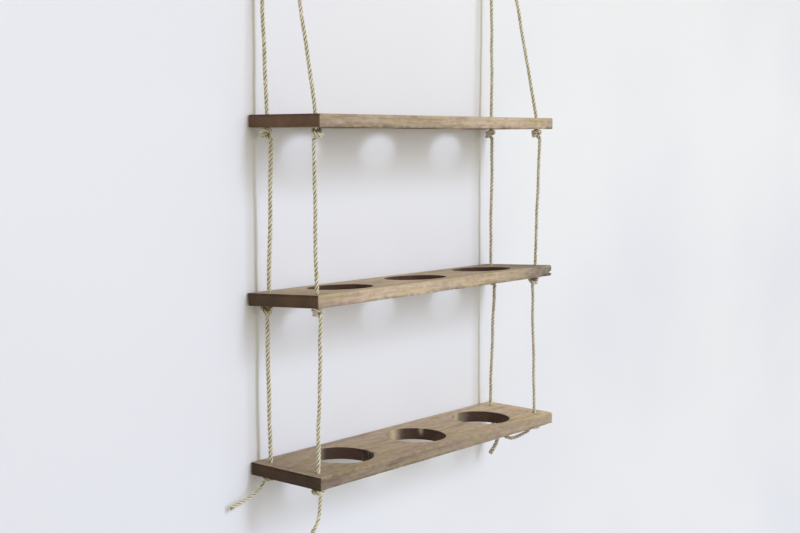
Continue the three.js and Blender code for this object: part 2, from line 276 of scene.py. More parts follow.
class Shader:
    """A material or world being written; node() adds any node and returns one of its outputs, or all."""

    def __init__(self, block, output="ShaderNodeOutputMaterial"):
        block.use_nodes = True
        self.block = block
        self.tree = block.node_tree
        self.tree.nodes.clear()
        self.output = output

    def node(self, kind, settings, output, values):
        made = self.tree.nodes.new(kind)
        for key, value in settings.items():
            setattr(made, key, value)
        for key, value in values.items():
            socket = self.found(made.inputs, key)
            if isinstance(value, Sock):
                self.tree.links.new(value.socket, socket)
            elif socket.type == "RGBA" and len(value) == 3:
                socket.default_value = (*value, 1.0)
            else:
                socket.default_value = value
        if output is None:
            return [Sock(self, socket) for socket in made.outputs]
        return Sock(self, self.found(made.outputs, output))

    def found(self, sockets, key):
        """A socket by its number, or by its name among those in use."""
        if isinstance(key, int):
            return sockets[key]
        return next(socket for socket in sockets if socket.name == key and socket.enabled)

    def layered(self, colour, *layers):
        """Colours laid over the first one, each with its share."""
        for tint, share in layers:
            colour = self.node(
                "ShaderNodeMix", {"data_type": "RGBA", "blend_type": "MIX"}, "Result",
                {"Factor": share, "A": colour, "B": tint})
        return colour

    def noise(self, where, scale, detail=3.0, roughness=0.5):
        """Noise with one scale, or with one for each axis."""
        if isinstance(scale, tuple):
            where, scale = where * scale, 1.0
        return self.node(
            "ShaderNodeTexNoise", {"noise_dimensions": "3D"}, "Fac",
            {"Vector": where, "Scale": scale, "Detail": detail, "Roughness": roughness})

    def parts(self, vector):
        return self.node("ShaderNodeSeparateXYZ", {}, None, {0: vector})

    def joined(self, x, y, z):
        return self.node("ShaderNodeCombineXYZ", {}, 0, {0: x, 1: y, 2: z})

    def place(self):
        return self.node("ShaderNodeTexCoord", {}, "Object", {})

    def attribute(self, name):
        return self.node("ShaderNodeAttribute", {"attribute_name": name}, "Fac", {})

    def bump(self, height, distance, strength):
        return self.node(
            "ShaderNodeBump", {}, "Normal", {"Height": height, "Distance": distance, "Strength": strength})

    def surface(self, colour, roughness, **others):
        values = {"Base Color": colour, "Roughness": roughness}
        values.update({key.replace("_", " "): value for key, value in others.items()})
        return self.finished(self.node("ShaderNodeBsdfPrincipled", {}, 0, values))

    def finished(self, shader):
        self.node(self.output, {}, None, {"Surface": shader})
        return self.block


# Materials


ROPE_FINISH = "twisted plant-fibre rope"
# How light each board is drawn: its faces at the left end, in the middle and at the right end, partly uneven
# stain and partly painted light from the window on the right, its front face against the others, its sawn
# ends.
LEFT_TONES = (0.9, 0.98, 0.88)
MIDDLE_TONES = (1.2, 1.36, 1.16)
RIGHT_TONES = (1.32, 0.6, 1.58)
FRONT_TONES = (1.0, 1.0, 0.65)
END_TONES = (1.0, 0.68, 0.5)
# Grey of the broken corner.
TORN_WOOD = (0.3, 0.262, 0.215)
# Y between which a board's top turns into its front face.
FRONT_BAND = (-0.1384, -0.1398)


def new_material(name):
    return Shader(bpy.data.materials.new(name))


def toned(colour, *shares):
    """A colour times one share, or times a share for each channel."""
    return tuple(c * share for c, share in zip(colour, shares * 3))


def rope_material():
    rope = settings()[0]
    s = new_material(ROPE_FINISH)
    along, around, _ = s.parts(s.node("ShaderNodeUVMap", {"uv_map": "lay"}, 0, {}))
    fibre = s.noise(s.joined(along * 1.1, around * 9.0 + along * 1.4, 0.0), 2.2, 4.0, 0.65)
    coarse = s.noise(s.joined(along * 0.5, around * 3.0 + along * 0.7, 3.0), 1.6, 2.0)
    straw = rope.straw
    pale = tuple(min(1.0, c * 1.22 + 0.09) for c in straw)
    brown = toned(straw, 0.64, 0.58, 0.47)
    # The last layer is painted shade: the groove colour where the strands sink towards the rope's middle, in
    # the knots' hearts and on shaded tails.
    colour = s.layered(
        brown, (straw, fibre.smooth(0.33, 0.55)), (pale, fibre.smooth(0.55, 0.75) * 0.8),
        (pale, coarse.smooth(0.5, 0.32) * 0.7), (brown, coarse.smooth(0.5, 0.66) * 0.75),
        (toned(straw, 0.8, 0.86, 0.7), s.noise(s.place(), 60.0, 2.0).smooth(0.45, 0.62) * 0.5),
        (rope.groove_shade, s.attribute("deep").smooth(0.1, 0.4) * 0.88))
    normal = s.bump(fibre * 0.7 + coarse * 0.5, 0.0003, 0.8)
    return s.surface(colour, 0.92, Normal=normal, Specular_IOR_Level=0.25)


def grain(s, where, shift):
    """Late wood, fibres and pores of a board: growth rings round a heart below it, and fine lines along X."""
    x, y, z = s.parts(where)
    bend = s.noise(s.joined(x * 2.6, y * 5.0 + shift, z * 5.0), 1.0, 2.0) - 0.5
    drift = s.noise(s.joined(x * 9.0, y * 26.0, z * 26.0 + shift), 1.0, 2.0) - 0.5
    heart_y = y - BOARD_MIDDLE_Y + bend * 0.09 + 0.012 * shift
    heart_z = z + bend * 0.05 + drift * 0.004
    radius = (heart_y * heart_y + heart_z * heart_z) ** 0.5 + drift * 0.006
    ring = s.node("ShaderNodeMath", {"operation": "FRACT"}, 0, {0: radius * 190.0})
    late = ring.smooth(0.35, 0.92) * (1 - ring.smooth(0.93, 1.0))
    fibre = s.noise(where, (16.0, 300.0, 300.0), 3.0, 0.6)
    pore = s.noise(where, (45.0, 900.0, 900.0), 2.0)
    return late, fibre, pore


def board_local(s, index):
    """Object coordinates brought to the board's own middle, the heart of the tree below it."""
    return s.place() - (0.37 * index, 0.0, board_top(index) - 0.06 - 0.012 * index)


def wood_face_material(index):
    board = settings()[1]
    s = new_material(f"{BOARD_NAMES[index]} board, stained face")
    where = board_local(s, index)
    late, fibre, pore = grain(s, where, 0.7 * index)
    face, dark = board.face, board.dark_grain
    broad = s.noise(where, (5.0, 20.0, 26.0), 3.0, 0.55)
    streak = s.noise(where, (11.0, 95.0, 120.0), 3.0, 0.6)
    tint = s.noise(where, (13.0, 42.0, 70.0), 2.0)
    speck = s.noise(where, (60.0, 160.0, 160.0), 2.0)
    mottle = s.noise(where, (75.0, 190.0, 190.0))
    wood = s.layered(
        face, (toned(face, 1.18), broad.smooth(0.42, 0.68) * 0.8),
        (toned(face, 0.74), broad.smooth(0.5, 0.3) * 0.8),
        (toned(face, 1.0, 1.02, 0.74), tint.smooth(0.5, 0.64) * 0.6),
        (toned(face, 0.96, 0.86, 0.98), tint.smooth(0.48, 0.34) * 0.7),
        (toned(face, 1.25), streak.smooth(0.53, 0.68) * 0.45), (dark, streak.smooth(0.48, 0.34) * 0.42),
        (dark, late * 0.16), (dark, fibre.smooth(0.52, 0.72) * 0.4), (dark, pore.smooth(0.6, 0.74) * 0.3),
        (toned(face, 1.3), mottle.smooth(0.54, 0.7) * 0.4),
        (toned(dark, 1.3), mottle.smooth(0.46, 0.32) * 0.4),
        (toned(dark, 0.45), speck.smooth(0.72, 0.8) * 0.7))
    # tone: the board's brightness along its length, partly uneven stain and partly painted light from the
    # window on the right, times its front face's factor.
    x, y, _ = s.parts(s.place())
    front = y.smooth(*FRONT_BAND)
    reach = (x + BOARD_LENGTH / 2) * (1 / BOARD_LENGTH)
    left, middle, right = LEFT_TONES[index], MIDDLE_TONES[index], RIGHT_TONES[index]
    hump = reach * (1 - reach) * 2 * (2 * middle - left - right)
    tone = (reach * (right - left) + left + hump) * (1 - front * (1 - FRONT_TONES[index]))
    grey = s.attribute("grey")
    # The last layer is painted shade, darkening the lower edges of the sides.
    colour = s.layered(
        wood * s.joined(tone, tone, tone), (TORN_WOOD, grey * 0.9),
        (toned(dark, 0.75), grey * mottle.smooth(0.5, 0.36) * 0.7),
        (board.worn, s.attribute("wear") * s.noise(where, 130.0).smooth(0.36, 0.6) * 0.45),
        (toned(dark, 0.3), s.attribute("grime") * s.noise(where, 90.0).smooth(0.3, 0.62) * 0.85))
    height = fibre * 0.6 + pore * 0.3 - late * 0.2 + s.noise(where, 260.0, 4.0) * grey * 2.5
    normal = s.bump(height, 0.0006, 0.7)
    return s.surface(colour, 0.78 + fibre * 0.16, Normal=normal, Specular_IOR_Level=0.3)


def end_grain_material(index):
    s = new_material(f"{BOARD_NAMES[index]} board, sawn end")
    where = board_local(s, index)
    late = grain(s, where, 0.7 * index)[0]
    x, y, z = s.parts(where)
    base = toned(settings()[1].end_grain, END_TONES[index])
    cloud = s.noise(where, 28.0)
    saw = s.noise(s.joined(x * 50.0, y * 60.0 + z * 90.0, z * 700.0), 1.0, 2.0)
    spots = s.noise(where, 900.0, 2.0)
    scratch = s.noise(s.joined(0.0, (y + z) * 520.0, (y - z) * 24.0), 1.0, 2.0)
    wear = s.attribute("wear") * (s.noise(where, 150.0).smooth(0.35, 0.6) * 0.7 + 0.3)
    colour = s.layered(
        base, (toned(base, 1.3), cloud.smooth(0.45, 0.66) * 0.8),
        (toned(base, 0.78, 0.86, 0.9), cloud.smooth(0.48, 0.3) * 0.8), (toned(base, 0.7), late * 0.35),
        (toned(base, 0.7), spots.smooth(0.5, 0.7) * 0.4),
        (toned(base, 1.7), scratch.smooth(0.66, 0.76) * 0.4), (toned(base, 0.4), wear * 0.9))
    normal = s.bump(saw * 0.6 + spots * 0.3, 0.0005, 0.6)
    return s.surface(colour, 0.82, Normal=normal, Specular_IOR_Level=0.25)


def cut_wall_material(index):
    board = settings()[1]
    s = new_material(f"{BOARD_NAMES[index]} board, cut-out wall")
    where = board_local(s, index)
    base = board.cut_wall
    burn = s.noise(where, (30.0, 30.0, 520.0), 3.0, 0.6)
    bare = s.attribute("bare") + (s.noise(where, 120.0) - 0.5) * 0.3
    torn = s.attribute("grime")
    splinters = s.noise(where, (300.0, 300.0, 40.0), 2.0)
    # Torn patch: the brown bits are torn wood, the dark lines between the splinters painted shade in their
    # grooves.
    colour = s.layered(
        base, (toned(base, 1.7), s.noise(where, 45.0).smooth(0.5, 0.75) * 0.7),
        (toned(base, 0.5), burn.smooth(0.5, 0.7) * 0.6), (toned(board.face, 0.7), bare.smooth(0.0, 0.68)),
        (board.worn, bare.smooth(0.5, 1.15) * 0.9), (toned(base, 0.3), torn * splinters.smooth(0.52, 0.44)),
        (toned(board.face, 0.36), torn * splinters.smooth(0.53, 0.62) * 0.9))
    normal = s.bump(burn + torn * splinters * 3.0, 0.0006, 0.7)
    return s.surface(colour, 0.8, Normal=normal, Specular_IOR_Level=0.25)


def hook_material():
    iron = settings()[2].iron
    s = new_material("satin black hook iron")
    rub = s.noise(s.place(), 160.0)
    rubbed = tuple(c * 2.4 + 0.01 for c in iron)
    colour = s.layered(iron, (rubbed, rub.smooth(0.5, 0.75) * 0.6))
    cast = s.bump(s.noise(s.place(), 1800.0, 2.0), 0.0001, 0.35)
    return s.surface(colour, 0.42 + rub * 0.22, Normal=cast, Metallic=0.35)


def screw_material():
    steel = settings()[2].steel
    s = new_material("bare screw steel")
    turned = s.noise(s.place(), (300.0, 4000.0, 300.0), 2.0)
    stain = s.noise(s.place(), 500.0)
    colour = s.layered(steel, (toned(steel, 0.6), stain.smooth(0.5, 0.75) * 0.7))
    return s.surface(colour, 0.3 + stain * 0.25, Normal=s.bump(turned, 0.0001, 0.3), Metallic=1.0)


# Routes


def lumps(x, y, z=0.0):
    """Smooth unevenness over space, between -1 and 1."""
    return noise.noise(Vector((x, y, z)))


def board_top(index):
    return -(HANG_DROP + index * BOARD_SPACING)


def mouth_height(index, y):
    return board_top(index) + (y - BOARD_MIDDLE_Y) * tan(radians(BOARD_TILTS[index]))


def underside_height(index, y):
    return mouth_height(index, y) - BOARD_THICKNESS / cos(radians(BOARD_TILTS[index]))


def hole_place(leg):
    side, end = leg.split("_")
    return (-HOLE_X if side == "left" else HOLE_X), HOLE_Y[end]


def knot_route(index, leg):
    """Neck in the hole, overhand knot drawn up against the underside, and the way its rope leaves it."""
    x0, y0 = hole_place(leg)
    turned, (shift_x, shift_y), flatness, lean = KNOTS[index][LEGS.index(leg)]
    side_x, side_y = cos(radians(turned)), sin(radians(turned))
    lean = Vector((*lean, 0))
    z0 = underside_height(index, y0) - (KNOT_TOP * KNOT_UNIT + KNOT_ROPE / 2 + KNOT_SEAT)

    def placed(share, shift):
        x, y, z = share
        x, y = x * KNOT_SPREADS[index], y * KNOT_SPREADS[index]
        return Vector((
            x0 + KNOT_UNIT * (x * side_x - y * side_y + shift * shift_x),
            y0 + KNOT_UNIT * (x * side_y + y * side_x + shift * shift_y), z0 + KNOT_UNIT * z))

    def drawn_up(point):
        ceiling = underside_height(index, point.y) - KNOT_ROPE * 0.6
        depth = point.z - ceiling
        return Vector((point.x, point.y, ceiling + min(0.0, depth) * flatness + max(0.0, depth)))

    ends = SIDEWAYS_EXIT if index == 2 and leg in SIDEWAYS_KNOTS else STRAIGHT_EXIT
    below = [placed(share, 0) + lean for share in KNOT_ROUTE]
    below[0] -= lean * 0.7
    below.extend(placed(share, EXIT_SHIFTS[i]) for i, share in enumerate(ends))
    below[len(KNOT_ROUTE)] += lean * 0.4
    neck = Vector((x0, y0, mouth_height(index, y0) - PIVOT_GAP / 2))
    return [neck, *(drawn_up(point) for point in below)]


def knot_line(index, leg):
    return smooth_line(knot_route(index, leg), settings()[0].step * KNOT_STEP)


def loop_exit(leg):
    x, _ = hole_place(leg)
    half = (settings()[0].diameter + WRAP_GAP) / 2
    return Vector((x, -SEAT_FROM_WALL + (-half if "front" in leg else half), -LOOP_DROP))


def run_route(index, leg):
    """Route of a leg's straight rope down to a board: from the loop, or from the knot above."""
    x, y = hole_place(leg)
    start = loop_exit(leg) if index == 0 else knot_route(index - 1, leg)[-1]
    start = start + Vector((0, 0, JOINT_LAP))
    end = Vector((x, y, mouth_height(index, y) - JOINT_LAP))
    lead = Vector((0, 0, settings()[0].diameter / 2))
    if index:
        return [start, start - lead, end + lead, end]
    bowed = start.lerp(end, BOW_PLACE) + Vector((*UPPER_BOWS[leg], 0))
    return [start, start - lead, bowed, end + lead, end]


def tail_route(leg):
    thick = settings()[0].diameter
    route = knot_route(2, leg)
    heading = (route[-1] - route[-2]).normalized()
    start = route[-1] - heading * JOINT_LAP
    x, y = hole_place(leg)
    base = Vector((x, y, underside_height(2, y)))
    return [start, start + heading * thick / 2, *(base + Vector(share) * thick for share in TAILS[leg])]


def loop_route(side):
    """From the top board's rope over the hook arm, and down in turns round its own standing part."""
    x = -HOLE_X if side == "left" else HOLE_X
    thick = settings()[0].diameter
    reach = HOOK_ARM / 2 + SEAT_GAP + thick / 2
    wrap = thick + WRAP_GAP
    seat_y = -SEAT_FROM_WALL
    core_y = seat_y - wrap / 2
    over = (pi - i * pi / 4 for i in range(5))
    turns = (-i * tau / 8 for i in range(int(WRAP_TURNS * 8) + 1))
    route = [
        (x, core_y, -LOOP_DROP),
        (x, core_y, -LOOP_DROP + thick),
        (x, core_y, -(LOOP_DROP + WRAP_TOP) / 2),
        (x - reach / 8, core_y, -WRAP_TOP),
        (x - reach * 0.75, seat_y - wrap / 6, -reach),
        *((x + reach * cos(angle), seat_y, reach * sin(angle)) for angle in over),
        (x + reach * 1.05, seat_y, -reach * 1.2),
        *((x + wrap * cos(turn), core_y + wrap * sin(turn), -WRAP_TOP + wrap * turn / tau) for turn in turns),
        (x, core_y + wrap, -LOOP_DROP + thick),
        (x, core_y + wrap, -LOOP_DROP),
    ]
    return [Vector(place) for place in route]


def smooth_line(route, step):
    """Points a step apart on the centripetal Catmull-Rom curve through the route."""
    ends = [route[0] * 2 - route[1], *route, route[-1] * 2 - route[-2]]
    dense = []
    for i in range(1, len(ends) - 2):
        corners = ends[i - 1:i + 3]
        at = [0.0]
        for a, b in zip(corners, corners[1:]):
            at.append(at[-1] + max((b - a).length, 1e-6) ** 0.5)
        pieces = max(4, int((corners[2] - corners[1]).length / step) * 2)
        for k in range(pieces):
            t = at[1] + (at[2] - at[1]) * k / pieces
            level = corners
            for spans in (((0, 1), (1, 2), (2, 3)), ((0, 2), (1, 3)), ((1, 2),)):
                shares = [(t - at[a]) / (at[b] - at[a]) for a, b in spans]
                level = [a.lerp(b, share) for a, b, share in zip(level, level[1:], shares)]
            dense.append(level[0])
    dense.append(ends[-2].copy())
    total = line_length(dense)
    count = max(4, round(total / step))
    line, walked, target = [dense[0].copy()], 0.0, total / count
    for a, b in zip(dense, dense[1:]):
        length = (b - a).length
        while length > 0 and walked + length >= target - 1e-9 and len(line) < count:
            line.append(a.lerp(b, (target - walked) / length))
            target += total / count
        walked += length
    line.append(dense[-1].copy())
    return line


def line_length(line):
    return sum((b - a).length for a, b in zip(line, line[1:]))


def squared(way, tangent):
    """The part of a direction that is square to a tangent."""
    return (way - tangent * way.dot(tangent)).normalized()


def line_frames(line):
    """Tangent and two square directions at each point, carried along without twist."""
    last = len(line) - 1
    tangents = [(line[min(i + 1, last)] - line[max(i - 1, 0)]).normalized() for i in range(last + 1)]
    side = squared(Vector((1, 0, 0)), tangents[0])
    frames = []
    for i, tangent in enumerate(tangents):
        if i:
            side = squared(tangents[i - 1].rotation_difference(tangent) @ side, tangent)
        frames.append((tangent, side, tangent.cross(side)))
    return frames


def phase_after(line, phase):
    """Where the strands stand at the end of a line."""
    tangent, side, _ = line_frames(line)[-1]
    reference = squared(Vector((1, 0, 0)), tangent)
    turned = atan2(reference.cross(side).dot(tangent), reference.dot(side))
    return phase + tau * line_length(line) / settings()[0].lay + turned


# Rope meshes


STRAND_SIDES = 8
# Directions of a stray fibre's three corners.
THIRDS = (0, tau / 3, 2 * tau / 3)
# The heart of a knot, and how deep it counts for its colour, which is from 0.4 on that of the grooves'
# painted shade.
HEART_RINGS = 9
HEART_SIDES = 12
HEART_DEPTH = 0.42
# Stray fibres at a cut end, the longest one on a tail and on a knot, and how many more a knot has.
TUFT = 26
TAIL_FIBRE = 0.0035
KNOT_FIBRE = 0.005
KNOT_FUZZ = 2.5
# How much thicker the rope of a knot is, except in its neck and its foot.
KNOT_SWELL = 0.07
KNOT_NECK = 0.006
KNOT_FOOT = 0.005
# Points at each end of a knot's line that are not part of the knot itself.
KNOT_ENDS = 12
# Share of a tail's length in which it takes on its own thickness.
TAIL_START = 0.15
# Size of the small bends of a straight rope.
ROPE_WAVE = 0.0011


def placed(name, mesh, body, node, slot):
    """An object in the scene that rides on a body in place of one of its nodes."""
    obj = bpy.data.objects.new(name, mesh)
    bpy.context.scene.collection.objects.link(obj)
    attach(obj, body)
    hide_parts(node)
    return obj


class RopeMesh:
    """Gathers the strands and stray fibres of one piece of rope, and makes its object."""

    # The last argument is painted shade laid over the whole piece, for tails that hang in the board's shadow.
    def __init__(self, name, seed, painted_shade=0.0):
        self.name = name
        self.random = random.Random(seed)
        self.painted_shade = painted_shade
        self.points, self.faces, self.lays, self.deeps = [], [], [], []

    def tube(self, rings, lays, deeps):
        """A closed tube through rings of points, with where each lies along and round it, and how deep."""
        first = len(self.points)
        sides = len(rings[0])
        for ring, ring_lays, ring_deeps in zip(rings, lays, deeps):
            self.points.extend(ring)
            self.deeps.extend(ring_deeps)
            self.lays.extend(ring_lays)
        for i in range(len(rings) - 1):
            for k in range(sides):
                a, b = first + i * sides + k, first + i * sides + (k + 1) % sides
                self.faces.append((a, b, b + sides, a + sides))
        last = first + (len(rings) - 1) * sides
        self.faces.append(tuple(range(first + sides - 1, first - 1, -1)))
        self.faces.append(tuple(range(last, last + sides)))

    def strands(self, line, phase, widths, flare=0.0):
        """Strands twisted round the line, their ends opened by the flare."""
        rope = settings()[0]
        frames = line_frames(line)
        last = len(line) - 1
        step = line_length(line) / last
        for strand in range(rope.strands):
            rings, lays, deeps = [], [], []
            offset = self.random.uniform(0, 40)
            loose = self.random.uniform(0.0, 0.035)
            for i, (point, (tangent, side, other)) in enumerate(zip(line, frames)):
                width = widths(i / last)
                opened = flare * max(0.0, 1 - (last - i) * step / (width * 1.6)) ** 1.5
                slack = lumps(i * step * 95.0, offset, strand * 3.0)
                angle = phase + tau * i * step / rope.lay + tau * strand / rope.strands + 0.3 * slack
                out = side * cos(angle) + other * sin(angle)
                across = tangent.cross(out)
                centre = point + out * width * (0.25 + loose * (0.6 + slack) + 0.2 * opened)
                bulge = 1.02 + 0.2 * lumps(i * step * 130.0, offset, strand)
                radius = width * 0.262 * bulge * (1 - 0.25 * opened)
                ring = []
                for k in range(STRAND_SIDES):
                    turn = tau * k / STRAND_SIDES
                    grown = radius * (1.0 + 0.05 * sin(5 * turn + i * 0.9 + offset))
                    ring.append(centre + (out * cos(turn) + across * sin(turn)) * grown)
                rings.append(ring)
                along = i * step / width + offset
                lays.append([(along, k / STRAND_SIDES + strand) for k in range(STRAND_SIDES)])
                # How near the rope's middle each point lies, which paints shade into the grooves; a shaded
                # tail gets no less than its own painted shade.
                deeps.append([max(self.painted_shade, 1 - (place - point).length / (width * 0.5)) for place in ring])
            self.tube(rings, lays, deeps)

    def fibre(self, centre, across, other, thick, taper, lay):
        """One loose fibre of four rings; centre and lay are told how far along it they are."""
        shares = [k / 3 for k in range(4)]
        self.tube(
            [[centre(t) + (across * cos(a) + other * sin(a)) * thick * (1 - taper * t) for a in THIRDS]
             for t in shares],
            [[lay(t)] * 3 for t in shares], [[0.0] * 3] * 4)

    def hairs(self, line, amount, longest=0.007):
        """Loose fibres lying along the rope."""
        frames = line_frames(line)
        pick = self.random
        for _ in range(int(amount * line_length(line))):
            i = pick.randrange(2, len(line) - 2)
            tangent, side, other = frames[i]
            angle = pick.uniform(0, tau)
            out = side * cos(angle) + other * sin(angle)
            along = tangent * pick.choice((-1, 1))
            start = line[i] + out * settings()[0].diameter * 0.4
            length = pick.uniform(0.002, longest)
            rise = pick.uniform(0.0005, 0.0014)
            drift = tangent.cross(out) * pick.uniform(-0.0012, 0.0012)
            thick = pick.uniform(0.00008, 0.00014)
            self.fibre(
                lambda t: start + along * length * t + drift * t * t + out * (rise * sin(t * 2.2)),
                out, tangent.cross(out), thick, 0.6, lambda t: (i + t, 0.0))

    def tuft(self, line):
        """Loose fibres sticking out of a cut end."""
        pick = self.random
        tangent, side, other = line_frames(line)[-1]
        for _ in range(TUFT):
            angle = pick.uniform(0, tau)
            out = side * cos(angle) + other * sin(angle)
            start = line[-1] - tangent * 0.002 + out * settings()[0].diameter * pick.uniform(0.05, 0.42)
            length = pick.uniform(0.0022, 0.0038)
            spread = pick.uniform(0.0, 0.0012)
            self.fibre(
                lambda t: start + tangent * length * t + out * spread * t * t,
                side, other, 0.00014, 0.5, lambda t: (t, 0.3))

    def heart(self, middle, wide, tall):
        """A lump packed into the middle of a knot, so that no light comes through it, painted dark with the
        grooves' painted shade.
        """
        rings, lays = [], []
        turns = [tau * k / HEART_SIDES for k in range(HEART_SIDES)]
        for i in range(HEART_RINGS):
            height = pi * (i + 0.25) / (HEART_RINGS - 0.5)
            ring = []
            for turn in turns:
                reach = wide * sin(height) * (1 + 0.22 * lumps(cos(turn) * 1.5, sin(turn) * 1.5, i * 0.6))
                ring.append(middle + Vector((reach * cos(turn), reach * sin(turn), -tall * cos(height))))
            rings.append(ring)
            lays.append([(i * 0.4, turn / tau) for turn in turns])
        self.tube(rings, lays, [[HEART_DEPTH] * HEART_SIDES] * HEART_RINGS)

    def make(self, body, node):
        """The finished piece of rope."""
        mesh = bpy.data.meshes.new(self.name)
        mesh.from_pydata([tuple(p) for p in self.points], [], self.faces)
        mesh.validate()
        lay = mesh.uv_layers.new(name="lay")
        for face in mesh.polygons:
            around = [self.lays[v][1] % 1.0 for v in face.vertices]
            turn = max(around) - min(around) > 0.5
            for corner, value in zip(face.loop_indices, around):
                along = self.lays[mesh.loops[corner].vertex_index][0]
                lay.data[corner].uv = (along, value + (1.0 if turn and value < 0.5 else 0.0))
        mesh.attributes.new("deep", "FLOAT", "POINT").data.foreach_set("value", self.deeps)
        mesh.polygons.foreach_set("use_smooth", [len(p.vertices) < 5 for p in mesh.polygons])
        mesh.materials.append(bpy.data.materials.get(ROPE_FINISH) or rope_material())
        return placed(self.name, mesh, body, node, "natural_rope")


def wavering(line, seed, size):
    """Small bends that a natural rope keeps, gone at both ends."""
    last = len(line) - 1
    moved = []
    for i, p in enumerate(line):
        fade = min(1.0, 8 * i / last, 8 * (last - i) / last)
        wave = Vector((lumps(p.z * 22.0, seed), lumps(p.z * 22.0, seed, 9.0), 0))
        moved.append(p + wave * size * fade)
    return moved


class SHELF_OT_ropes(bpy.types.Operator):
    """Straight ropes from the loops to the top board and from board to board"""
    bl_idname = "shelf.ropes"
    bl_label = "Ropes between the boards"

    def execute(self, context):
        rope = settings()[0]
        lap = tau * JOINT_LAP / rope.lay
        phases = {}
        for number, leg in enumerate(LEGS):
            phase = 0.9 * number
            for index, name in enumerate(("upper", "middle", "lower")):
                swell = ROPE_WIDTHS[leg][index] - 1

                def width(t):
                    return rope.diameter * (1 + swell * min(1.0, 14 * t, 14 * (1 - t)))

                seed = number * 3 + index
                line = wavering(smooth_line(run_route(index, leg), rope.step), seed + 0.5, ROPE_WAVE)
                piece = RopeMesh(f"{leg}_{name}_twisted_rope", FIRST_ROPE + seed)
                piece.strands(line, phase, width)
                piece.hairs(line, rope.fuzz)
                obj = piece.make(f"{leg.split('_')[0]}_{name}_ropes", f"{leg}_{name}_rope")
                phases[f"{leg}_{index}_knot"] = phase = phase_after(line, phase) - lap
                phase = phase_after(knot_line(index, leg), phase) - lap
                phases[f"{leg}_{index}_exit"] = phase
                line_length(line)
        context.scene["shelf_phases"] = phases
        return {"FINISHED"}


class SHELF_OT_tails(bpy.types.Operator):
    """Loose tails of the ropes below the bottom board"""
    bl_idname = "shelf.tails"
    bl_label = "Rope tails"

    def execute(self, context):
        rope = settings()[0]
        for number, leg in enumerate(LEGS):
            line = smooth_line(tail_route(leg), rope.step)
            start, end = TAIL_WIDTHS[leg]

            def width(t):
                grip = (1 - start) * max(0.0, 1 - t / TAIL_START)
                return rope.diameter * (start + grip + (end - start) * t)

            piece = RopeMesh(f"{leg}_twisted_tail", FIRST_TAIL + number, TAIL_SHADES[leg])
            piece.strands(line, context.scene["shelf_phases"][f"{leg}_2_exit"], width, flare=0.5)
            piece.hairs(line, rope.fuzz, TAIL_FIBRE)
            piece.tuft(line)
            obj = piece.make("bottom_shelf", f"{leg}_tail")
            line_length(line)
        return {"FINISHED"}


class SHELF_OT_knots(bpy.types.Operator):
    """Overhand knots under the boards, with their necks in the drilled holes"""
    bl_idname = "shelf.knots"
    bl_label = "Knots"

    def execute(self, context):
        rope = settings()[0]
        for number, leg in enumerate(LEGS):
            for index, board in enumerate(BOARD_NAMES):
                line = knot_line(index, leg)
                length = line_length(line)

                def width(t):
                    ends = max(1 - t * length / KNOT_NECK, 1 - (1 - t) * length / KNOT_FOOT)
                    return rope.diameter * (1 + KNOT_SWELL * min(1.0, 1 - ends))

                piece = RopeMesh(f"{leg}_{board}_tied_knot", FIRST_KNOT + number * 3 + index)
                piece.strands(line, context.scene["shelf_phases"][f"{leg}_{index}_knot"], width)
                piece.hairs(line, rope.fuzz * KNOT_FUZZ, KNOT_FIBRE)
                tied = line[KNOT_ENDS:-KNOT_ENDS]
                middle = sum(tied, Vector()) / len(tied)
                piece.heart(middle, KNOT_UNIT * 1.1, KNOT_UNIT * 0.85 * KNOTS[index][number][2])
                piece.make(f"{board}_shelf", f"{leg}_{board}_knot")
        return {"FINISHED"}


class SHELF_OT_loops(bpy.types.Operator):
    """Rope loops over the hook arms, each closed by a wrapped knot"""
    bl_idname = "shelf.loops"
    bl_label = "Hook loops"

    def execute(self, context):
        rope = settings()[0]
        for number, side in enumerate(("left", "right")):
            line = smooth_line(loop_route(side), rope.step * LOOP_STEP)
            piece = RopeMesh(f"{side}_twisted_loop", FIRST_LOOP + number)
            piece.strands(line, 0.4, lambda t: rope.diameter)
            piece.hairs(line, rope.fuzz)
            piece.make(f"{side}_loop", f"{side}_rope_loop")
        return {"FINISHED"}


# Boards


# Where each board's sawn left and right ends really lie.
BOARD_ENDS = ((-0.307, 0.311), (-0.3135, 0.310), (-0.310, 0.3165))
# How far each corner is cut off, and the distance between the points of a board's outline.
CORNER_CUTS = (0.002, 0.003, 0.002, 0.002)
OUTLINE_STEP = 0.005
# How near to a side a place of the outline belongs to it.
NEAR_SIDE = 0.012
# How near to its end a board shows end grain, and how near to it the edges are worn less.
SAWN_FACE = 0.0022
END_ARRIS = 0.003
# The broken corner of the middle board: its place, how far it reaches, how deep its edge is torn and how deep
# its sides are bitten out.
BROKEN_CORNER = (0.308, -0.070)
BROKEN_REACH = 0.062
TORN_EDGE = 0.0034
BITE = 0.009
# Chips knocked out of the edges of each board: X, Y, size and depth.
CHIPS = (
    ((0.302, -0.066, 0.020, 0.0045), (0.16, -0.07, 0.010, 0.002), (-0.21, -0.07, 0.007, 0.0016)),
    ((0.300, -0.064, 0.026, 0.0060), (0.285, -0.07, 0.010, 0.003), (0.02, -0.07, 0.009, 0.002),
     (-0.305, -0.02, 0.006, 0.0012)),
    ((0.306, -0.068, 0.012, 0.0016), (0.268, -0.07, 0.012, 0.003), (0.247, -0.07, 0.006, 0.002),
     (-0.12, -0.07, 0.008, 0.0015), (-0.306, 0.03, 0.006, 0.0012)),
)
# The bottom board's front edge is rounded off with the tree's own curve at its right end: where this starts,
# how far it runs in, how deep it is, and behind which line there is none.
WANE_START = 0.185
WANE_RUN = 0.04
WANE_DEPTH = 0.0028
WANE_FRONT = -0.066
# Angle between two faces from which a board's edge is drawn sharp.
SHARP_ANGLE = radians(28)
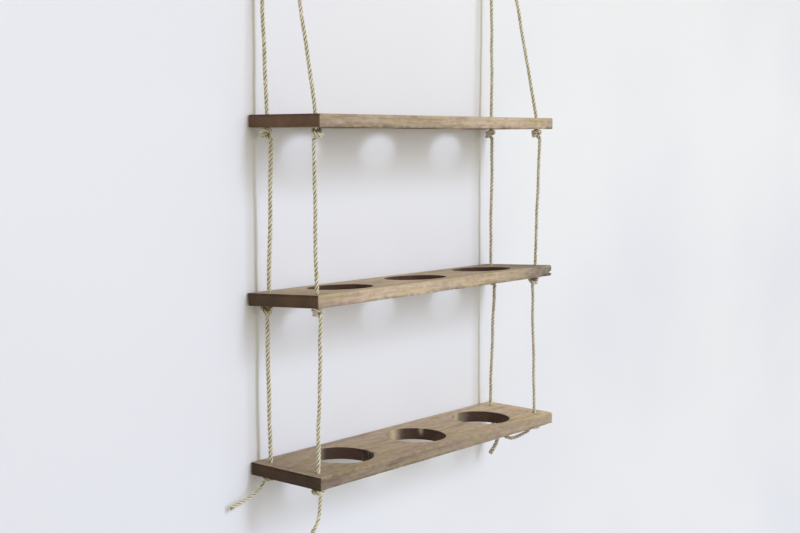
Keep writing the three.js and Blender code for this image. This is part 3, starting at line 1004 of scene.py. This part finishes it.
# The least wear of an edge, and that of the drilled holes.
LEAST_WEAR = 0.0003
HOLE_WEAR = 0.0005
# How deep a torn cut-out wall is between its splinters.
SPLINTER = 0.0045
# How much bare wood shows on the cut-outs' walls of each board, where the grain lies along them, and the
# angle at which it starts, on the bottom board's right cut-out later than on the others.
BARE_WALLS = (0.68, 0.16, 0.68)
BARE_START = 64
LATE_BARE_START = 73
# Radius of the drilled holes, which hold their ropes more tightly than those of the solids.
ROPE_HOLE_RADIUS = 0.0068 / 2
# Points round a cut-out and round a drilled hole.
CUTOUT_POINTS = 144
HOLE_POINTS = 24
# The loose grid of points on a board's flat faces, and how far it keeps from the sides.
GRID_STEP = 0.009
GRID_MARGIN = 0.007
# Rows of a wall from the top down: the shares of the upper edge's wear by which it is set in and lowered, its
# share of the way down, the shares of the lower edge's wear by which it is lowered and set in, how worn it
# is, how much painted shade darkens it, for which a cut-out's wall takes its torn wood instead, and how
# marked it is.
WALL_ROWS = (
    (1, 0, 0, 0, 0, 0.7, 0, 1),
    (0.3, 0.3, 0, 0, 0, 1, 0, 1),
    (0, 1, 0, 0, 0, 0.8, 0, 1),
    (0, 1, 0.25, 0, 0, 0, 0, 0.9),
    (0, 1, 0.5, 0, 0, 0, 0, 0.45),
    (0, 1, 0.75, 0, 0, 0, 0, 0.1),
    (0, 1, 1, 0, 0, 0.3, 0.5, 0),
    (0, 1, 1, 0.7, 0.3, 0.3, 1, 0),
    (0, 1, 1, 1, 1, 0.2, 0.7, 0),
)


def ragged_outline(index):
    """Outline of a board, counter-clockwise, with the wander of its sawn sides and its broken corner."""
    half_x, half_y = BOARD_LENGTH / 2, BOARD_DEPTH / 2
    left, right = BOARD_ENDS[index]
    corners = [Vector(p) for p in ((left, -half_y), (right, -half_y), (right, half_y), (left, half_y))]
    outline = []
    for i, corner in enumerate(corners):
        following = corners[(i + 1) % 4]
        ahead = (following - corner).normalized()
        a = corner + (corners[i - 1] - corner).normalized() * CORNER_CUTS[i]
        b = corner + ahead * CORNER_CUTS[i]
        for t in (0, 0.25, 0.5, 0.75, 1):
            outline.append(a * (1 - t) ** 2 + corner * 2 * t * (1 - t) + b * t * t)
        end = following - ahead * CORNER_CUTS[(i + 1) % 4]
        count = int((end - b).length / OUTLINE_STEP)
        outline.extend(b.lerp(end, k / count) for k in range(1, count))
    ragged = []
    for p in outline:
        wave = lumps(p.x * 45.0, p.y * 45.0, index * 7.3) - 0.4
        fine = lumps(p.x * 260.0, p.y * 260.0, index * 3.1) - 0.4
        inward = Vector((
            -copysign(abs(p.x) > half_x - NEAR_SIDE, p.x), -copysign(abs(p.y) > half_y - NEAR_SIDE, p.y)))
        torn = ragged_corner(index, p) * TORN_EDGE * max(0.0, 0.3 + lumps(p.x * 190.0, p.y * 190.0, 4.0))
        ragged.append(p + inward * (max(0.0, -(wave + fine * 0.5) * settings()[1].wander) + torn))
    return ragged


def ragged_corner(index, p):
    """1 at the broken right front corner of the middle board, fading to 0 over a few centimetres."""
    x, y = BROKEN_CORNER
    near = 1 - hypot(p.x - x, (p.y - y) * 0.7) / BROKEN_REACH
    return max(0.0, near) if index == 1 else 0.0


def from_end(index, p):
    """How far a place of a board lies inside the nearer of its sawn ends."""
    left, right = BOARD_ENDS[index]
    return min(p.x - left, right - p.x)


def wear_at(index, p, low):
    """How deep the edge is worn at a place: the arris, its unevenness and the chips knocked out of it."""
    uneven = lumps(p.x * 60, p.y * 60, index * 5.0 + (9.0 if low else 0.0))
    share = 0.35 + 0.15 * uneven if from_end(index, p) < END_ARRIS else 0.7 + 0.6 * uneven
    depth = settings()[1].arris * share
    for x, y, size, deep in CHIPS[index]:
        near = 1 - hypot(p.x - x, p.y - y) / size
        if near > 0:
            rough = 0.7 + 0.5 * lumps(p.x * 400, p.y * 400, 2.0)
            depth += deep * near ** 0.7 * rough * (1.0 if low else 0.75)
    if index == 2 and not low and p.y < WANE_FRONT and p.x > WANE_START:
        depth += WANE_DEPTH * min(1.0, (p.x - WANE_START) / WANE_RUN)
    return min(max(depth, LEAST_WEAR), BOARD_THICKNESS * 0.4)


def hole_outline(x, y, radius, count):
    """Outline of a round hole, clockwise, so that it has the wood on its left."""
    turns = (-tau * i / count for i in range(count))
    return [Vector((x + radius * cos(turn), y + radius * sin(turn))) for turn in turns]


def inward_of(outline, i):
    """Direction into the wood at a point of an outline that has the wood on its left."""
    ahead = outline[(i + 1) % len(outline)] - outline[i - 1]
    return Vector((-ahead.y, ahead.x)).normalized()


class BoardMesh:
    """Gathers the faces of one board, with how worn, bare and grey each place is, and its painted shade and
    torn wood.
    """

    def __init__(self, index):
        self.index = index
        self.points, self.faces, self.slots = [], [], []
        self.wear, self.grime, self.bare, self.grey = [], [], [], []

    def add(self, p, z, wear=0.0, grime=0.0, bare=0.0):
        self.points.append((p.x, p.y, z))
        self.wear.append(wear)
        self.grime.append(grime)
        self.bare.append(bare)
        self.grey.append(ragged_corner(self.index, p) ** 0.5)
        return len(self.points) - 1

    def wall(self, outline, depths, slot, wave=0.0, kind="side"):
        """Rounded edge, side and rounded edge of one outline; returns its top and bottom rows."""
        places = []
        for i, p in enumerate(outline):
            broken = ragged_corner(self.index, p) if kind == "side" else 0.0
            marks = cut_wall_at(self.index, p) if kind == "cutout" else (0.0, 0.0, 0.0)
            places.append((p, inward_of(outline, i), *depths(p), broken, *marks))
        rows = []
        for number, (top_in, top_down, share, low_down, low_in, *paint) in enumerate(WALL_ROWS):
            wear, grime, marked = paint
            row = []
            for p, inward, top, low, broken, bare, mark, torn in places:
                z = -top * top_down - (BOARD_THICKNESS - top - low) * share - low * low_down
                inset = top * top_in + low * low_in
                if 0 < share < 1:
                    bite = max(0.0, 0.25 + lumps(p.x * 150, p.y * 150, share * 2.2 + 5.0))
                    inset += wave * lumps(p.x * 70, p.y * 70, number * 3.0) + BITE * broken * bite
                if torn and 1 < number < 8:
                    inset += SPLINTER * torn * max(0.0, lumps(p.x * 260, p.y * 260, number * 0.35) + 0.1)
                # Painted shade along the lower edges of the sides; on a cut-out's wall its torn wood, with
                # painted shade between the splinters.
                shade_and_tear_share = torn if kind == "cutout" else grime
                row.append(self.add(p + inward * max(0.0, inset), z, wear, shade_and_tear_share, bare + mark * marked))
            rows.append(row)
        for upper, lower in zip(rows, rows[1:]):
            for i in range(len(outline)):
                k = (i + 1) % len(outline)
                self.faces.append((upper[i], lower[i], lower[k], upper[k]))
                self.slots.append(slot(outline[i].lerp(outline[k], 0.5)))
        return rows[0], rows[-1]

    def fill(self, rows, z, up):
        """A flat face between outlines, on a loose grid."""
        flat, known, edges, loops = [], [], [], []
        for row in rows:
            first = len(flat)
            edges.extend((first + i, first + (i + 1) % len(row)) for i in range(len(row)))
            loops.append([Vector(self.points[i][:2]) for i in row])
            flat.extend(loops[-1])
            known.extend(row)
        for column in range(int(BOARD_LENGTH / GRID_STEP) + 1):
            for line in range(int(BOARD_DEPTH / GRID_STEP) + 1):
                p = Vector((column * GRID_STEP - BOARD_LENGTH / 2, line * GRID_STEP - BOARD_DEPTH / 2))
                if min(from_end(self.index, p), BOARD_DEPTH / 2 - abs(p.y)) < GRID_MARGIN:
                    continue
                if any((p - q).length < GRID_STEP / 2 for loop in loops for q in loop):
                    continue
                flat.append(p)
                known.append(self.add(p, z))
        points, _, faces, origins, _, _ = delaunay_2d_cdt(flat, edges, [], 0, 1e-7)
        where = [known[old[0]] if old else self.add(points[new], z) for new, old in enumerate(origins)]
        for face in faces:
            corners = [points[i] for i in face]
            middle = sum(corners, Vector((0, 0))) / len(corners)
            if not inside(middle, loops[0]) or any(inside(middle, loop) for loop in loops[1:]):
                continue
            area = sum(a.x * b.y - b.x * a.y for a, b in zip(corners, corners[1:] + corners[:1]))
            order = [where[i] for i in face]
            self.faces.append(tuple(order if (area > 0) == up else reversed(order)))
            self.slots.append(0)


def inside(p, loop):
    """Whether a place lies inside a closed outline."""
    crossed = False
    for a, b in zip(loop, loop[1:] + loop[:1]):
        if (a.y > p.y) != (b.y > p.y) and p.x < (b.x - a.x) * (p.y - a.y) / (b.y - a.y) + a.x:
            crossed = not crossed
    return crossed


def ramp(value, low, high):
    """0 below low and 1 above high, smooth between."""
    share = max(0.0, min(1.0, (value - low) / (high - low)))
    return share * share * (3 - 2 * share)


def cut_wall_at(index, p):
    """Shares of bare wood, of a rubbed mark and of torn wood at a place of a cut-out's wall."""
    column = max(-1, min(1, round((p.x - CUTOUT_SHIFT) / CUTOUT_SPACING)))
    turn = degrees(atan2(p.y, p.x - CUTOUT_SHIFT - column * CUTOUT_SPACING))
    start = LATE_BARE_START if index == 2 and column == 1 else BARE_START
    bare = BARE_WALLS[index] * ramp(abs(turn), start, start + 26) * ramp(-abs(turn), -165, -135)
    mark = torn = 0.0
    if index == 2 and column == -1:
        torn = max(0.0, 1 - abs(turn + 25) / 27) ** 0.4
    elif index == 2:
        bare += 0.3 * ramp(turn, 48, 78) * ramp(-turn, -92, -76)
        bare += 0.42 * exp(-((turn - start - 22) / 7.0) ** 2)
        mark = 0.0 if column else 0.76 * exp(-((turn - 27) / 4.6) ** 2)
    return bare, mark, torn


class SHELF_OT_boards(bpy.types.Operator):
    """Rough boards with worn edges, round cut-outs and drilled rope holes"""
    bl_idname = "shelf.boards"
    bl_label = "Boards"

    def execute(self, context):
        board = settings()[1]
        for index, name in enumerate(BOARD_NAMES):

            def side_wear(p):
                return wear_at(index, p, False), wear_at(index, p, True)

            def side_slot(p):
                return 1 if from_end(index, p) < SAWN_FACE else 0

            def cut_wear(p):
                uneven = 0.8 + 0.6 * lumps(p.x * 90, p.y * 90, index * 2.0)
                return board.arris * 0.55 * uneven, board.arris * 0.5

            made = BoardMesh(index)
            rows = [made.wall(ragged_outline(index), side_wear, side_slot, board.wander)]
            for column in (-1, 0, 1):
                x = CUTOUT_SHIFT + column * CUTOUT_SPACING
                loop = hole_outline(x, 0, CUTOUT_RADIUS, CUTOUT_POINTS)
                rows.append(made.wall(loop, cut_wear, lambda p: 2, board.wander * 0.5, "cutout"))
            for leg in LEGS:
                x, y = hole_place(leg)
                loop = hole_outline(x, y - BOARD_MIDDLE_Y, ROPE_HOLE_RADIUS, HOLE_POINTS)
                rows.append(made.wall(loop, lambda p: (HOLE_WEAR, HOLE_WEAR), lambda p: 2))
            tops, lows = zip(*rows)
            made.fill(tops, 0.0, True)
            made.fill(lows, -BOARD_THICKNESS, False)
            mesh = bpy.data.meshes.new(f"{name}_rough_board")
            mesh.from_pydata(made.points, [], made.faces)
            for key in ("wear", "grime", "bare", "grey"):
                mesh.attributes.new(key, "FLOAT", "POINT").data.foreach_set("value", getattr(made, key))
            mesh.polygons.foreach_set("material_index", made.slots)
            mesh.polygons.foreach_set("use_smooth", [True] * len(mesh.polygons))
            mesh.set_sharp_from_angle(angle=SHARP_ANGLE)
            tilt = Matrix.Rotation(radians(BOARD_TILTS[index]), 4, "X")
            mesh.transform(Matrix.Translation((0, BOARD_MIDDLE_Y, board_top(index))) @ tilt)
            mesh.validate()
            for material in (wood_face_material, end_grain_material, cut_wall_material):
                mesh.materials.append(material(index))
            placed(f"{name}_rough_board", mesh, f"{name}_shelf", f"{name}_board", "board_wood")
        return {"FINISHED"}


# Hooks


# Angle between two faces from which their edge is rounded.
EDGE_ANGLE = radians(35)


def dressed(node, name, slot, material, segments):
    """A copy of a CAD solid with its flat faces joined and its edges rounded."""
    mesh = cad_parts[node].data.copy()
    mesh.name = name
    work = bmesh.new()
    work.from_mesh(mesh)
    bmesh.ops.remove_doubles(work, verts=work.verts, dist=1e-6)
    bmesh.ops.dissolve_limit(work, angle_limit=radians(1), verts=work.verts, edges=work.edges)
    work.to_mesh(mesh)
    work.free()
    mesh.materials.clear()
    mesh.materials.append(material)
    mesh.polygons.foreach_set("material_index", [0] * len(mesh.polygons))
    mesh.polygons.foreach_set("use_smooth", [True] * len(mesh.polygons))
    mesh.set_sharp_from_angle(angle=EDGE_ANGLE)
    bevel = placed(name, mesh, "wall_hooks", node, slot).modifiers.new("worn edges", "BEVEL")
    bevel.width = settings()[2].bevel
    bevel.segments = segments
    bevel.limit_method = "ANGLE"
    bevel.angle_limit = EDGE_ANGLE


class SHELF_OT_hooks(bpy.types.Operator):
    """Wall hooks: plate, arm and upturned ball tip"""
    bl_idname = "shelf.hooks"
    bl_label = "Wall hooks"

    def execute(self, context):
        iron = hook_material()
        for side in ("left", "right"):
            dressed(f"{side}_hook", f"{side}_iron_hook", "hook_iron", iron, 3)
        return {"FINISHED"}


class SHELF_OT_screws(bpy.types.Operator):
    """Slotted countersunk screws in the hook plates"""
    bl_idname = "shelf.screws"
    bl_label = "Hook screws"

    def execute(self, context):
        steel = screw_material()
        for side in ("left", "right"):
            for place in ("upper", "lower"):
                name = f"{side}_{place}_slotted_screw"
                dressed(f"{side}_hook_screw_{place}", name, "screw_steel", steel, 2)
        return {"FINISHED"}


# Stage


# The camera as it was fitted to the photograph, in metres, degrees, pixels and millimetres.
CAMERA_PLACE = (-1.78865, -1.46717, -0.57981)
CAMERA_HEADING = 38.535
CAMERA_DIP = 5.133
CAMERA_ROLL = -0.151
CAMERA_FOCAL_PIXELS = 1393.5
IMAGE_WIDTH = 800
SENSOR_WIDTH = 36.0
# The wall's face, and the sides, top, floor and front of the room.
WALL_FACE = 0.0006
ROOM_SIDES = (-4.0, 4.0)
ROOM_TOP = 2.4
ROOM_FLOOR = -1.9
ROOM_FRONT = -6.0
# Height in degrees, share of the light and width in degrees of each pane of a tall, narrow window, and last
# of the bright room round it, and how far to the right of straight ahead they stand.
WINDOW_PANES = (
    (3.0, 0.09, 10.5), (12.5, 0.075, 10.5), (20.5, 0.11, 10.5), (28.0, 0.17, 10.5), (35.5, 0.205, 10.5),
    (17.0, 0.35, 50.0))
WINDOW_SIDE = 0.12
WINDOW_COLOUR = (0.91, 1.0, 1.26)
ROOM_COLOUR = (1.19, 1.0, 0.54)


def add_camera(scene):
    """The camera at the photograph's place and angle."""
    heading, dip, roll = (radians(v) for v in (CAMERA_HEADING, CAMERA_DIP, CAMERA_ROLL))
    forward = Vector((cos(dip) * cos(heading), cos(dip) * sin(heading), -sin(dip)))
    right = Vector((sin(heading), -cos(heading), 0))
    up = right.cross(forward)
    turned_right = right * cos(roll) + up * sin(roll)
    turned_up = up * cos(roll) - right * sin(roll)
    data = bpy.data.cameras.new("shelf camera")
    data.sensor_width = SENSOR_WIDTH
    data.lens = CAMERA_FOCAL_PIXELS / IMAGE_WIDTH * SENSOR_WIDTH
    camera = bpy.data.objects.new("shelf camera", data)
    axes = Matrix((turned_right, turned_up, -forward)).transposed().to_4x4()
    camera.matrix_world = Matrix.Translation(CAMERA_PLACE) @ axes
    scene.collection.objects.link(camera)
    scene.camera = camera


def plain_sheet(name, corners, material):
    mesh = bpy.data.meshes.new(name)
    mesh.from_pydata(corners, [], [(0, 1, 2, 3)])
    mesh.materials.append(material)
    obj = bpy.data.objects.new(name, mesh)
    bpy.context.scene.collection.objects.link(obj)


def wall_paint(name, one_sided):
    """Matt paint with painted light, lighter towards the window on the right, and painted shade, darker
    towards the bottom; a one-sided sheet is clear from behind, so that the shelf can be seen from there.
    """
    stage = settings()[3]
    s = new_material(name)
    x, _, z = s.parts(s.place())
    cloud = s.noise(s.place(), 1.4, 2.0).smooth(0.25, 0.6)
    # Painted light: lighter towards the window on the right.
    even = s.layered(stage.wall, (stage.wall_window_lit, x.smooth(-0.55, 0.5)))
    clouded = s.layered(toned(stage.wall, 0.985), (even, cloud))
    fixed = {"Specular_IOR_Level": 0.0}
    if one_sided:
        fixed["Alpha"] = 1 - s.node("ShaderNodeNewGeometry", {}, "Backfacing", {})
    # Painted shade: darker towards the bottom.
    return s.surface(clouded * (1.035 - z.smooth(-0.5, -1.2) * 0.06), 0.95, **fixed)


def room_world():
    """White as the camera sees it, and the room's soft light for everything else."""
    s = Shader(bpy.data.worlds.new("room"), "ShaderNodeOutputWorld")
    seen = s.node("ShaderNodeBackground", {}, 0, {"Color": (1, 1, 1), "Strength": 1.0})
    lit = s.node("ShaderNodeBackground", {}, 0, {"Color": ROOM_COLOUR, "Strength": settings()[3].sky})
    camera = s.node("ShaderNodeLightPath", {}, "Is Camera Ray", {})
    return s.finished(s.node("ShaderNodeMixShader", {}, 0, {0: camera, 1: lit, 2: seen}))


class SHELF_OT_stage(bpy.types.Operator):
    """Camera, wall, floor and soft light"""
    bl_idname = "shelf.stage"
    bl_label = "Camera, wall and light"

    def execute(self, context):
        scene = context.scene
        stage = settings()[3]
        add_camera(scene)
        foot, head, front = (
            [(x, y, z) for x in ROOM_SIDES]
            for y, z in ((WALL_FACE, ROOM_FLOOR), (WALL_FACE, ROOM_TOP), (ROOM_FRONT, ROOM_FLOOR)))
        plain_sheet("wall", [*foot, *reversed(head)], wall_paint("wall paint", True))
        plain_sheet("floor", [*front, *reversed(foot)], wall_paint("floor paint", False))
        for pane, (rise, share, width) in enumerate(WINDOW_PANES):
            lamp = bpy.data.lights.new(f"window pane {pane + 1}", "SUN")
            lamp.energy = stage.sun * share
            lamp.angle = radians(width)
            lamp.color = WINDOW_COLOUR
            sun = bpy.data.objects.new(f"window pane {pane + 1}", lamp)
            sun.rotation_mode = "QUATERNION"
            towards = Vector((WINDOW_SIDE, -1.0, tan(radians(rise))))
            sun.rotation_quaternion = towards.to_track_quat("Z", "Y")
            scene.collection.objects.link(sun)
        scene.world = room_world()
        scene.view_settings.view_transform = "Standard"
        return {"FINISHED"}


class SHELF_PT_panel(bpy.types.Panel):
    """Sizes, colours and pieces of the rope shelf"""
    bl_idname = "SHELF_PT_panel"
    bl_label = "Rope Shelf"
    bl_space_type = "VIEW_3D"
    bl_region_type = "UI"
    bl_category = "Rope Shelf"

    def draw(self, context):
        layout = self.layout
        for group in settings():
            box = layout.box()
            for key in group.__annotations__:
                box.prop(group, key)
        for operator in OPERATORS:
            layout.operator(operator.bl_idname)


OPERATORS = (
    SHELF_OT_stage, SHELF_OT_ropes, SHELF_OT_tails, SHELF_OT_knots, SHELF_OT_loops, SHELF_OT_boards,
    SHELF_OT_hooks, SHELF_OT_screws)
GROUPS = {
    "shelf_rope": ShelfRopeSettings,
    "shelf_board": ShelfBoardSettings,
    "shelf_metal": ShelfMetalSettings,
    "shelf_stage": ShelfStageSettings,
}
CLASSES = (*GROUPS.values(), *OPERATORS, SHELF_PT_panel)


def register():
    for made in CLASSES:
        bpy.utils.register_class(made)
    for name, group in GROUPS.items():
        setattr(bpy.types.Scene, name, PointerProperty(type=group))


def unregister():
    for name in GROUPS:
        delattr(bpy.types.Scene, name)
    for made in reversed(CLASSES):
        bpy.utils.unregister_class(made)


def main():
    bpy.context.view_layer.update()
    register()
    bpy.ops.shelf.stage()
    bpy.ops.shelf.ropes()
    bpy.ops.shelf.tails()
    bpy.ops.shelf.knots()
    bpy.ops.shelf.loops()
    bpy.ops.shelf.boards()
    bpy.ops.shelf.hooks()
    bpy.ops.shelf.screws()


if __name__ == "__main__":
    main()
